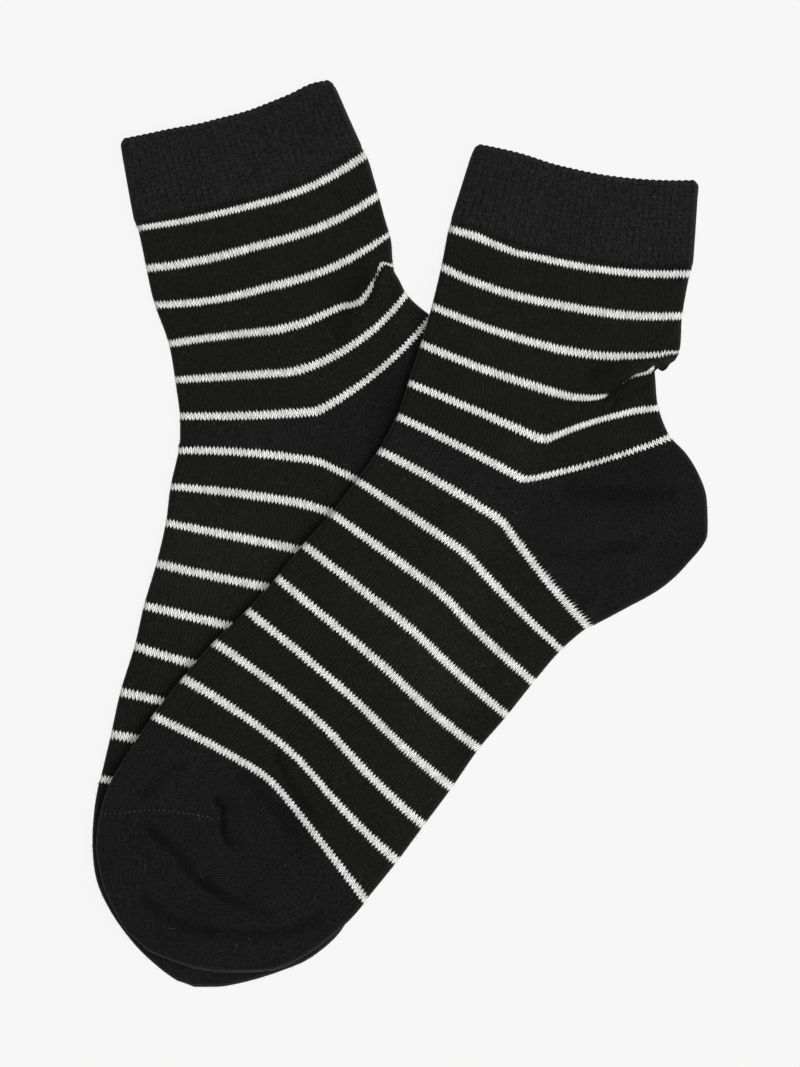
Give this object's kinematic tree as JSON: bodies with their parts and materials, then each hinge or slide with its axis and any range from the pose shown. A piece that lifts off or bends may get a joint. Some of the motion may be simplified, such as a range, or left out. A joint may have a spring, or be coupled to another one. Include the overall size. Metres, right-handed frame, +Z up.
{
  "type": "pair of socks",
  "caption": "Pair of knitted ankle socks with thin horizontal stripes, ribbed cuffs and plain heels and toes, laid flat and crossed.",
  "frame": {"origin": "middle of the pair's outline, on the surface that it lies on", "axes": "+Z up from the surface, +Y from the toes towards the cuffs, +X towards the over sock's heel"},
  "size_m": [0.1968, 0.2899, 0.0074],
  "materials": {
    "rib_knit": "matt black ribbed knit with elastic",
    "striped_knit": "matt black fine knit with thin silvery white stripes",
    "plain_knit": "matt black fine knit"
  },
  "bodies": {
    "root": {"under_sock_cuff": "rib_knit", "under_sock_leg": "striped_knit", "under_sock_heel": "plain_knit", "under_sock_foot": "striped_knit", "under_sock_toe": "plain_knit", "over_sock_cuff": "rib_knit", "over_sock_leg": "striped_knit", "over_sock_heel": "plain_knit", "over_sock_foot": "striped_knit", "over_sock_toe": "plain_knit"}
  },
  "joints": []
}
